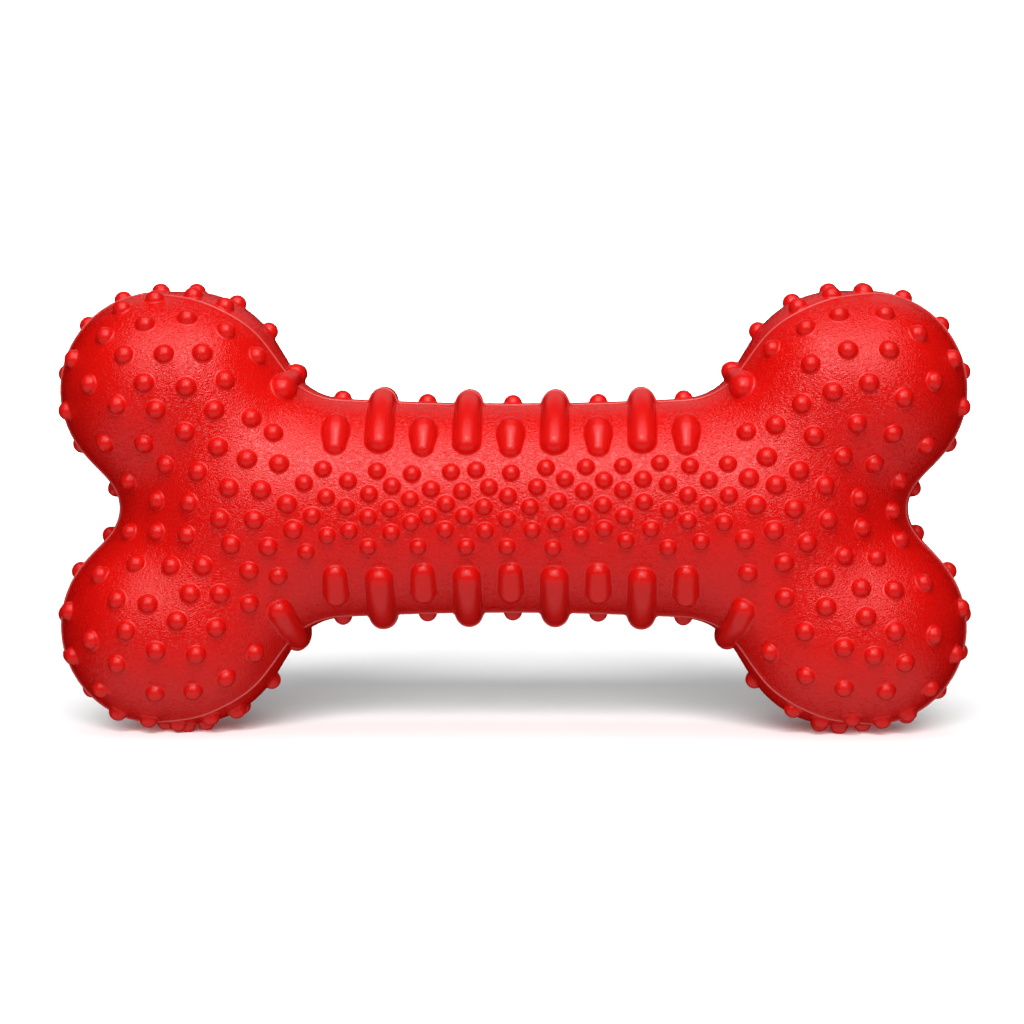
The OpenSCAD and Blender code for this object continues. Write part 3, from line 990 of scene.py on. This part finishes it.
    def nubs(
        self,
        places: np.ndarray,
        radius: float,
        side: Side,
        name: str,
        material: bpy.types.Material,
    ) -> bpy.types.Object:
        """Builds the nubs of one half as one piece.

        Args:
            places: the nubs' places.
            radius: their radius.
            side: the half that they are on.
            name: the piece's name.
            material: its finish.

        Returns:
            The new object.
        """
        form = self.moulding.form
        spots = form.clear(places, radius)
        spots = spots[side.value * (spots[:, 1] - form.seam_y(spots[:, 0])) > 0]
        normal = form.normal(spots)
        flat = np.abs(normal[:, :1]) < self.steep
        helper = np.where(flat, np.array([[1.0, 0, 0]]), np.array([[0, 0, 1.0]]))
        first = unit(np.cross(normal, helper))
        second = np.cross(normal, first)
        angle = 2 * np.pi * np.arange(self.around) / self.around
        ways = first[:, None] * np.cos(angle)[:, None] + second[:, None] * np.sin(angle)[:, None]
        out, up = self.profile(radius, self.nub_fillet, np.array([-self.nub_sink]))
        out, up = out[:, :, None], up[:, :, None]
        grid = self.raised(spots[:, None][None], ways[None], out + 0 * angle, up + 0 * angle)
        rings, count = grid.shape[:2]
        points, faces = grid.reshape(-1, 3), []
        for nub in range(count):
            index = (np.arange(rings)[:, None] * count + nub) * self.around + np.arange(self.around)
            index[0, :] = index[0, 0]
            index[-1, :] = index[-1, 0]
            faces += grid_faces(index, wrap=True)
        return self.moulding.piece(name, points, faces, material, "rubber")

    def bar(
        self, spine: np.ndarray, centre: np.ndarray, radius: np.ndarray
    ) -> tuple[np.ndarray, list]:
        """Builds a rib or pill along a spine.

        Args:
            spine: points along the skin.
            centre: height of the round top's centre over the skin at each of them.
            radius: radius of the round top there.

        Returns:
            Its points and faces.
        """
        form = self.moulding.form
        normal = form.normal(spine)
        along = unit(np.gradient(spine, axis=0))
        aside = unit(np.cross(normal, along))
        half = np.linspace(0.0, np.pi, self.around // 2 + 1)[1:-1]
        last, first = len(spine) - 1, 0
        cap_end = np.outer(np.cos(half), aside[last]) + np.outer(np.sin(half), along[last])
        cap_start = -np.outer(np.cos(half), aside[first]) - np.outer(np.sin(half), along[first])
        which = np.concatenate([
            np.arange(len(spine)), np.full(len(half), last),
            np.arange(len(spine))[::-1], np.full(len(half), first),
        ])
        ways = np.concatenate([aside, cap_end, -aside[::-1], cap_start])
        out, up = self.profile(radius, self.rib_fillet, centre)
        grid = self.raised(spine[which][None], ways[None], out[:, which], up[:, which])
        index = np.arange(grid.shape[0] * grid.shape[1]).reshape(grid.shape[:2])
        return grid.reshape(-1, 3), grid_faces(index, wrap=True)

    def arc(self, x: float, side: float, level: float, turns: np.ndarray) -> np.ndarray:
        """Finds points on the shaft's skin in one place along it.

        Args:
            x: the place along the shaft.
            side: -1 if they run down the front, 1 for the back.
            level: 1 if they start from the top, -1 from the bottom.
            turns: their angles from there, in degrees.

        Returns:
            Points on the skin.
        """
        form = self.moulding.form
        turn = np.radians(turns)
        size = form.shaft_size(np.array(x))
        off, height = side * size * np.sin(turn), level * size * np.cos(turn)
        spine = np.stack([x + 0 * turn, off, height], -1)
        return form.settle(spine, 2)

    def joined(self, parts: list) -> tuple[np.ndarray, list]:
        """Joins several bars into one mesh.

        Args:
            parts: the points and faces of each.

        Returns:
            The points and faces of all.
        """
        points, faces, first = [], [], 0
        for own, own_faces in parts:
            points.append(own)
            faces += [[n + first for n in face] for face in own_faces]
            first += len(own)
        return np.concatenate(points), faces

    def long_ribs(self, material: bpy.types.Material) -> bpy.types.Object:
        """Builds the ribs over the top and bottom of the shaft.

        Args:
            material: their finish.

        Returns:
            The new object.
        """
        turns = np.linspace(-self.rib_reach, self.rib_reach, self.rib_points)
        rise = np.full(self.rib_points, self.rib_proud - self.rib_radius)
        radius = np.full(self.rib_points, self.rib_radius)
        bars = [
            self.bar(self.arc(x, 1, level, turns), rise, radius)
            for x in self.rib_stations()
            for level in (-1, 1)
        ]
        return self.moulding.piece("long_ribs", *self.joined(bars), material, "rubber")

    def short_pills(self, material: bpy.types.Material) -> bpy.types.Object:
        """Builds the short pills between the long ribs, front and back.

        Args:
            material: their finish.

        Returns:
            The new object.
        """
        turns = np.linspace(self.pill_start, self.pill_end, self.pill_points)
        rise = self.rib_proud - self.rib_radius
        dive = np.linspace(rise, rise - self.pill_dive, self.pill_points)
        share = np.linspace(0.0, 1.0, self.pill_points)
        knots = (0.0, self.pill_belly_share, 1.0)
        tapers = {
            -1: self.neck_radius + (self.pill_low_tip - self.neck_radius) * share,
            1: np.interp(share, knots, (self.neck_radius, self.pill_belly, self.pill_tip)),
        }
        bars = [
            self.bar(self.arc(x, side, level, turns), dive, tapers[level])
            for x in self.pill_stations()
            for side in (-1, 1)
            for level in (-1, 1)
        ]
        return self.moulding.piece("short_pills", *self.joined(bars), material, "rubber")

    def neck_sizes(self, upper: bool) -> tuple[np.ndarray, np.ndarray]:
        """Works out how thick a neck pill is along its length, and how deep it sits.

        Args:
            upper: whether it is an upper pill, which has a bulb and a waist.

        Returns:
            Radius and height of the round top's centre at each point.
        """
        share = np.linspace(0.0, 1.0, self.neck_points)
        if not upper:
            return self.neck_radius + (self.neck_tip - self.neck_radius) * share, 0.0 * share
        off = np.abs(share - self.neck_pinch_share) / self.neck_pinch_half_share
        pinch = self.neck_pinch * np.sqrt(np.clip(1.0 - off, 0.0, 1.0))
        return self.neck_bulb + (self.neck_tip - self.neck_bulb) * share - pinch, -pinch

    def neck_pills(self, material: bpy.types.Material) -> bpy.types.Object:
        """Builds the slanted pills over the four necks, front and back.

        Args:
            material: their finish.

        Returns:
            The new object.
        """
        form, view = self.moulding.form, self.moulding.view
        bars = []
        for route in NECK_PILL_PIXELS:
            knots = np.concatenate([
                view.front_places(form, route[:-1]),
                view.rim_places(form, route[-1:], self.foot_aside / 2),
            ])
            step = np.linspace(0, len(knots) - 1, self.neck_points)
            line = np.stack([np.interp(step, np.arange(len(knots)), way) for way in knots.T], -1)
            taper, dip = self.neck_sizes(upper=knots[0, 2] > 0)
            for hand in (1.0, -1.0):
                spine = form.settle(line * np.array([1.0, hand, 1.0]), 3)
                bars.append(self.bar(spine, dip, taper))
        return self.moulding.piece("neck_pills", *self.joined(bars), material, "rubber")

    def rib_gap(self, p: np.ndarray) -> np.ndarray:
        """Distance of points from the long ribs.

        Args:
            p: the points.

        Returns:
            Distances from the nearest rib, negative inside.
        """
        form = self.moulding.form
        around = length_of(p[..., 1:])
        gaps = []
        for x in self.rib_stations():
            size = form.shaft_size(np.array(x)) + self.rib_proud - self.rib_radius
            gaps.append(np.hypot(p[..., 0] - x, around - size) - self.rib_radius)
        return np.min(gaps, axis=0)


@dataclass
class SeamLine:
    """The thin line of squeezed-out rubber where the halves meet."""

    moulding: Moulding
    bumps: Bumps
    half_width: float = 0.2
    height: float = 0.2
    around: int = 12
    sharp: float = 80.0
    rib_blend: float = 1.0
    shaft_rings: int = 420
    fan_rings: int = 200
    start_out: float = 4.0
    reach_steps: int = 160
    reach_ease: float = 0.7

    def path(self) -> np.ndarray:
        """Finds where the seam meets the bone's surface, ribs included.

        Returns:
            Points in a closed loop round the bone.
        """
        form = self.moulding.form
        x0, lean, _ = Skin(self.moulding, self.shaft_rings, self.fan_rings).rings()
        way = np.where(x0 < 0, -1.0, 1.0)
        rows = []
        for level in (1.0, -1.0):
            reach = np.full(len(x0), form.shaft_radius + self.start_out)
            for _ in range(self.reach_steps):
                x = x0 + way * reach * np.cos(lean)
                p = np.stack([x, form.seam_y(x), level * reach * np.sin(lean)], -1)
                gap = soft_min(form.gap(p), self.bumps.rib_gap(p), self.rib_blend)
                reach = reach - self.reach_ease * gap
            rows.append(p)
        return np.concatenate([rows[0], rows[1][-2:0:-1]])

    def build(self, material: bpy.types.Material) -> bpy.types.Object:
        """Builds the line as one closed loop of small round section.

        Args:
            material: its finish.

        Returns:
            The new object.
        """
        form = self.moulding.form
        path = self.path()
        normal = form.normal(path)
        along = unit(np.roll(path, -1, 0) - np.roll(path, 1, 0))
        aside = unit(np.cross(along, normal))
        up = np.cross(aside, along)
        angle = 2 * np.pi * np.arange(self.around) / self.around
        grid = (
            path[:, None]
            + aside[:, None] * (self.half_width * np.cos(angle))[:, None]
            + up[:, None] * (self.height * np.sin(angle))[:, None]
        )
        index = np.arange(grid.shape[0] * self.around).reshape(grid.shape[:2])
        faces = grid_faces(np.concatenate([index, index[:1]]), wrap=True)
        points = grid.reshape(-1, 3)
        piece = self.moulding.piece("seam_line", points, faces, material, "bond", self.sharp)
        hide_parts("seam_bond")
        return piece


@dataclass
class Port:
    """The thickened round port in the back that the squeaker is snapped into."""

    moulding: Moulding
    bore: float = 5.6
    recess: float = 7.6
    land: float = 8.9
    boss: float = 8.6
    mouth_y: float = 18.8
    recess_y: float = 17.4
    inner_y: float = 8.8
    skin_y: float = 14.6
    edge: float = 0.35
    around: int = 96
    edge_points: int = 6
    sharp: float = 40.0
    cutter_length: float = 30.0

    def rounding(self, middle: float, edge: float, hand: float) -> list[tuple[float, float]]:
        """Rounds off one edge of the mouth.

        Args:
            middle: distance of the rounding's centre from the port's axis.
            edge: its radius.
            hand: 1 if it lies outside its centre, -1 inside.

        Returns:
            Its distances from the axis and places from front to back, in order outwards.
        """
        turn = np.radians(np.linspace(90.0, 0.0, self.edge_points))
        return [
            (middle + hand * edge * math.cos(a), self.mouth_y - edge + edge * math.sin(a))
            for a in turn[:: int(hand)]
        ]

    def build(self, material: bpy.types.Material) -> bpy.types.Object:
        """Builds the port as one turned ring.

        Args:
            material: its finish.

        Returns:
            The new object.
        """
        outline = (
            [(self.bore, self.inner_y), (self.bore, self.recess_y), (self.recess, self.recess_y)]
            + self.rounding(self.recess + self.edge / 2, self.edge / 2, -1.0)
            + self.rounding(self.land - self.edge, self.edge, 1.0)
            + [(self.land, self.skin_y), (self.boss, self.skin_y), (self.boss, self.inner_y)]
        )
        angle = 2 * np.pi * np.arange(self.around) / self.around
        points = np.array([
            (r * math.cos(a), y, r * math.sin(a)) for r, y in outline for a in angle
        ])
        index = np.arange(len(points)).reshape(len(outline), self.around)
        faces = grid_faces(np.concatenate([index, index[:1]]), wrap=True)
        return self.moulding.piece("squeaker_port", points, faces, material, "rubber", self.sharp)

    def open_skin(self, skin: bpy.types.Object) -> None:
        """Cuts the hole for the port through the back half.

        Args:
            skin: the back half.
        """
        bpy.ops.mesh.primitive_cylinder_add(
            vertices=self.around,
            radius=(self.recess + self.boss) / 2 * MM,
            depth=self.cutter_length * MM,
            location=(0, self.mouth_y * MM, self.moulding.rest_height * MM),
            rotation=(math.pi / 2, 0, 0),
        )
        tool = bpy.context.object
        cut = skin.modifiers.new("port", "BOOLEAN")
        cut.operation, cut.object, cut.solver = "DIFFERENCE", tool, "EXACT"
        bpy.context.view_layer.update()
        held = skin.evaluated_get(bpy.context.evaluated_depsgraph_get())
        opened = bpy.data.meshes.new_from_object(held)
        skin.modifiers.clear()
        skin.data = opened
        bpy.data.objects.remove(tool)


@dataclass(frozen=True)
class Softbox:
    """A soft light that faces the bone. Its place and size are in metres, its power in watts."""

    name: str
    place: tuple[float, float, float]
    size: tuple[float, float]
    power: float
    shine: bool = True


@dataclass(frozen=True)
class FloorSun:
    """A far light from the front that reaches the floor alone and lays the bone's shadow on it.

    Its power is in watts per square metre. Its spread, which is how wide it looks from the floor,
    and its rise over the horizon are in degrees.
    """

    name: str
    power: float
    spread: float
    rise: float


SUNS = (
    FloorSun("shadow_sun", power=11.2, spread=30.0, rise=16.5),
    FloorSun("contact_sun", power=0.7, spread=60.0, rise=70.0),
)
SOFTBOXES = (
    Softbox("near_softbox", (0.0, -0.17, 0.21), (0.06, 0.06), 0.085),
    Softbox("top_softbox", (0.0, -0.38, 0.68), (0.90, 0.80), 3.8),
    Softbox("back_softbox", (0.0, 0.7, 0.6), (0.8, 0.5), 0.4),
    Softbox("bounce_card", (0.0, -0.12, -0.28), (1.2, 0.7), 1.0),
    Softbox("low_softbox", (0.0, -0.9, 0.42), (1.5, 0.30), 2.6),
    Softbox("front_fill", (0.0, -1.2, 0.0), (1.0, 0.8), 1.7, shine=False),
)


@dataclass
class Studio:
    """Pale floor, soft lights and the camera. Its lengths are in metres."""

    moulding: Moulding
    floor_half: float = 4.0
    wall_at: float = 1.6
    bend: float = 0.8
    bend_points: int = 25
    air: float = 0.22
    sight_end: float = 20.0

    def floor(self) -> None:
        """Builds the floor, which sweeps up behind the bone."""
        turn = np.linspace(0.0, np.pi / 2, self.bend_points)
        rows = [(-self.floor_half, 0.0)]
        rows += [
            (self.wall_at + self.bend * math.sin(a), self.bend * (1 - math.cos(a))) for a in turn
        ]
        rows.append((self.wall_at + self.bend, self.floor_half))
        points = [(x, y, z) for y, z in rows for x in (-self.floor_half, self.floor_half)]
        index = np.arange(len(points)).reshape(len(rows), 2)
        mesh = bpy.data.meshes.new("studio_floor")
        mesh.from_pydata(points, [], grid_faces(index))
        mesh.shade_smooth()
        mesh.materials.append(FloorFinish().material())
        floor = bpy.data.objects.new("studio_floor", mesh)
        bpy.context.scene.collection.objects.link(floor)
        floor.visible_glossy = floor.visible_diffuse = floor.visible_shadow = False

    def light(self, box: Softbox) -> None:
        """Hangs a softbox so that it faces the bone.

        Args:
            box: the softbox; the bone mirrors it if it has shine.
        """
        lamp = bpy.data.lights.new(box.name, "AREA")
        lamp.shape = "RECTANGLE"
        lamp.size, lamp.size_y = box.size
        lamp.energy = box.power
        lamp.cycles.use_multiple_importance_sampling = box.shine
        holder = bpy.data.objects.new(box.name, lamp)
        holder.visible_glossy = box.shine
        bpy.context.scene.collection.objects.link(holder)
        self.link_floor(holder, "EXCLUDE")
        place = np.array(box.place)
        back = unit(place - np.array([0.0, 0.0, self.moulding.rest_height * MM]))
        right = unit(np.cross([0.0, 0.0, 1.0], back))
        self.turn(holder, place, right, np.cross(back, right), back)

    def link_floor(self, holder: bpy.types.Object, state: str) -> None:
        """Sets whether a light reaches the floor.

        Args:
            holder: the light.
            state: "INCLUDE" if it reaches the floor alone, "EXCLUDE" for all but the floor.
        """
        reached = bpy.data.collections.new(f"{holder.name}_reach")
        reached.objects.link(bpy.data.objects["studio_floor"])
        reached.collection_objects[0].light_linking.link_state = state
        holder.light_linking.receiver_collection = reached

    def floor_sun(self, sun: FloorSun) -> None:
        """Adds a sun for the floor.

        Args:
            sun: the sun.
        """
        lamp = bpy.data.lights.new(sun.name, "SUN")
        lamp.energy = sun.power
        lamp.angle = math.radians(sun.spread)
        holder = bpy.data.objects.new(sun.name, lamp)
        bpy.context.scene.collection.objects.link(holder)
        holder.rotation_euler = (math.radians(90.0 - sun.rise), 0.0, 0.0)
        self.link_floor(holder, "INCLUDE")

    def turn(
        self, thing: bpy.types.Object, place: np.ndarray, right: Any, up: Any, back: Any
    ) -> None:
        """Places a light or camera by its axes."""
        rows = [[*(float(v[n]) for v in (right, up, back)), float(place[n])] for n in range(3)]
        thing.matrix_world = Matrix(rows + [[0, 0, 0, 1]])

    def camera(self) -> None:
        """Sets the camera up as the photograph was taken."""
        view, form = self.moulding.view, self.moulding.form
        ahead, across, up = view.axes()
        lens = bpy.data.cameras.new("photo_camera")
        lens.sensor_width = view.film
        lens.lens = view.lens(form)
        lens.shift_x = -(view.middle_pixel[0] - view.picture_pixels / 2) / view.picture_pixels
        lens.shift_y = (view.middle_pixel[1] - view.picture_pixels / 2) / view.picture_pixels
        lens.clip_end = self.sight_end
        holder = bpy.data.objects.new("photo_camera", lens)
        bpy.context.scene.collection.objects.link(holder)
        place = (view.eye() + np.array([0, 0, self.moulding.rest_height])) * MM
        self.turn(holder, place, across, up, -ahead)
        bpy.context.scene.camera = holder

    def build(self) -> None:
        """Sets up the whole studio."""
        scene = bpy.context.scene
        scene.view_settings.view_transform = "Standard"
        world = bpy.data.worlds.new("studio_air")
        world.use_nodes = True
        air = world.node_tree.nodes["Background"]
        air.inputs["Color"].default_value = (1.0, 1.0, 1.0, 1.0)
        air.inputs["Strength"].default_value = self.air
        world.cycles_visibility.glossy = False
        scene.world = world
        self.floor()
        for sun in SUNS:
            self.floor_sun(sun)
        for box in SOFTBOXES:
            self.light(box)
        self.camera()


def build_bone() -> Moulding:
    """Builds every piece of the bone in order.

    Returns:
        What its pieces share.
    """
    moulding = Moulding()
    bumps = Bumps(moulding)
    moulding.rest_height = bumps.rest_height()
    rubber = RubberFinish("red_rubber_skin").material()
    smooth = RubberFinish("red_rubber_nubs", grain_depth=0.02, roughness=0.26).material()
    # The seam line's rubber is painted a lighter pink than the skin: a painted highlight along the
    # thin ridge, where light catches it.
    seam_painted_highlight = RubberFinish(
        "red_rubber_seam_painted_highlight",
        deep=(0.86, 0.09, 0.085, 1.0),
        bright=(0.9, 0.12, 0.11, 1.0),
        grain_depth=0.01,
    ).material()
    skin = Skin(moulding)
    skin.half(Side.FRONT, "front_skin", "front_shell", rubber)
    back = skin.half(Side.BACK, "back_skin", "back_shell", rubber)
    port = Port(moulding)
    port.build(rubber)
    port.open_skin(back)
    big, small = bumps.big_places(), bumps.small_places()
    for side in Side:
        label = side.name.lower()
        bumps.nubs(big, bumps.nub_radius, side, f"{label}_knuckle_nubs", smooth)
        bumps.nubs(small, bumps.band_nub_radius, side, f"{label}_band_nubs", smooth)
    bumps.long_ribs(smooth)
    bumps.short_pills(smooth)
    bumps.neck_pills(smooth)
    SeamLine(moulding, bumps).build(seam_painted_highlight)
    return moulding


def dress_squeaker() -> None:
    """Gives the squeaker's own pieces their finishes."""
    plastic = PlasticFinish("squeaker_plastic").material()
    strip = StripFinish("reed_strip").material()
    finishes = {
        "squeaker_housing": plastic,
        "squeaker_cap": plastic,
        "reed_seat": plastic,
        "reed": strip,
    }
    for name, finish in finishes.items():
        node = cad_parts[name]
        node.data.materials.clear()
        node.data.materials.append(finish)
        log.info("%s dressed", name)


def main() -> None:
    """Builds the bone and its studio."""
    logging.basicConfig(level=logging.INFO)
    moulding = build_bone()
    dress_squeaker()
    Studio(moulding).build()


if __name__ == "__main__":
    main()
